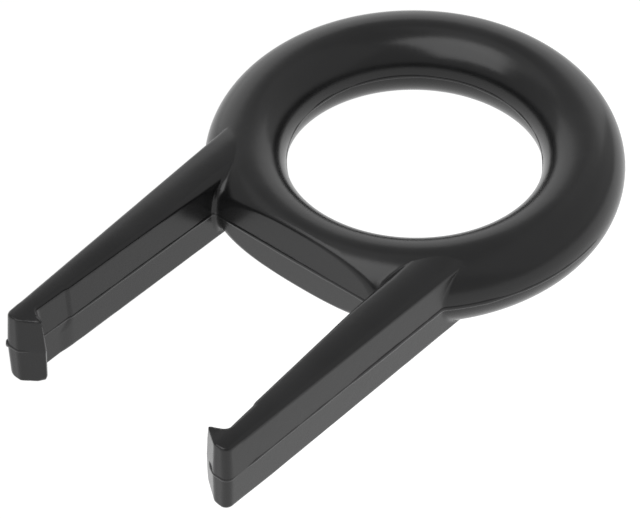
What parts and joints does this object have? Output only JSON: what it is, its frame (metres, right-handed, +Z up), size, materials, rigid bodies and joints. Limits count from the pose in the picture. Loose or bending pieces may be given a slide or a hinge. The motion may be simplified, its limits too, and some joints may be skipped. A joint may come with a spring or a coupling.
{
  "type": "keycap puller",
  "caption": "One-piece moulded plastic keycap puller: a round finger ring with two springy arms whose hooked tips catch under a keycap's edges to pull it off.",
  "frame": {"origin": "centre of the finger ring, on the mould's parting plane", "axes": "+Z up through the finger hole, arms pointing along -Y, +X from the left arm to the right arm"},
  "size_m": [0.0354, 0.0552, 0.0068],
  "materials": {
    "black_plastic": "satin-gloss injection-moulded surface with a fine parting line"
  },
  "bodies": {
    "root": {"puller_body": "black_plastic"}
  },
  "joints": []
}
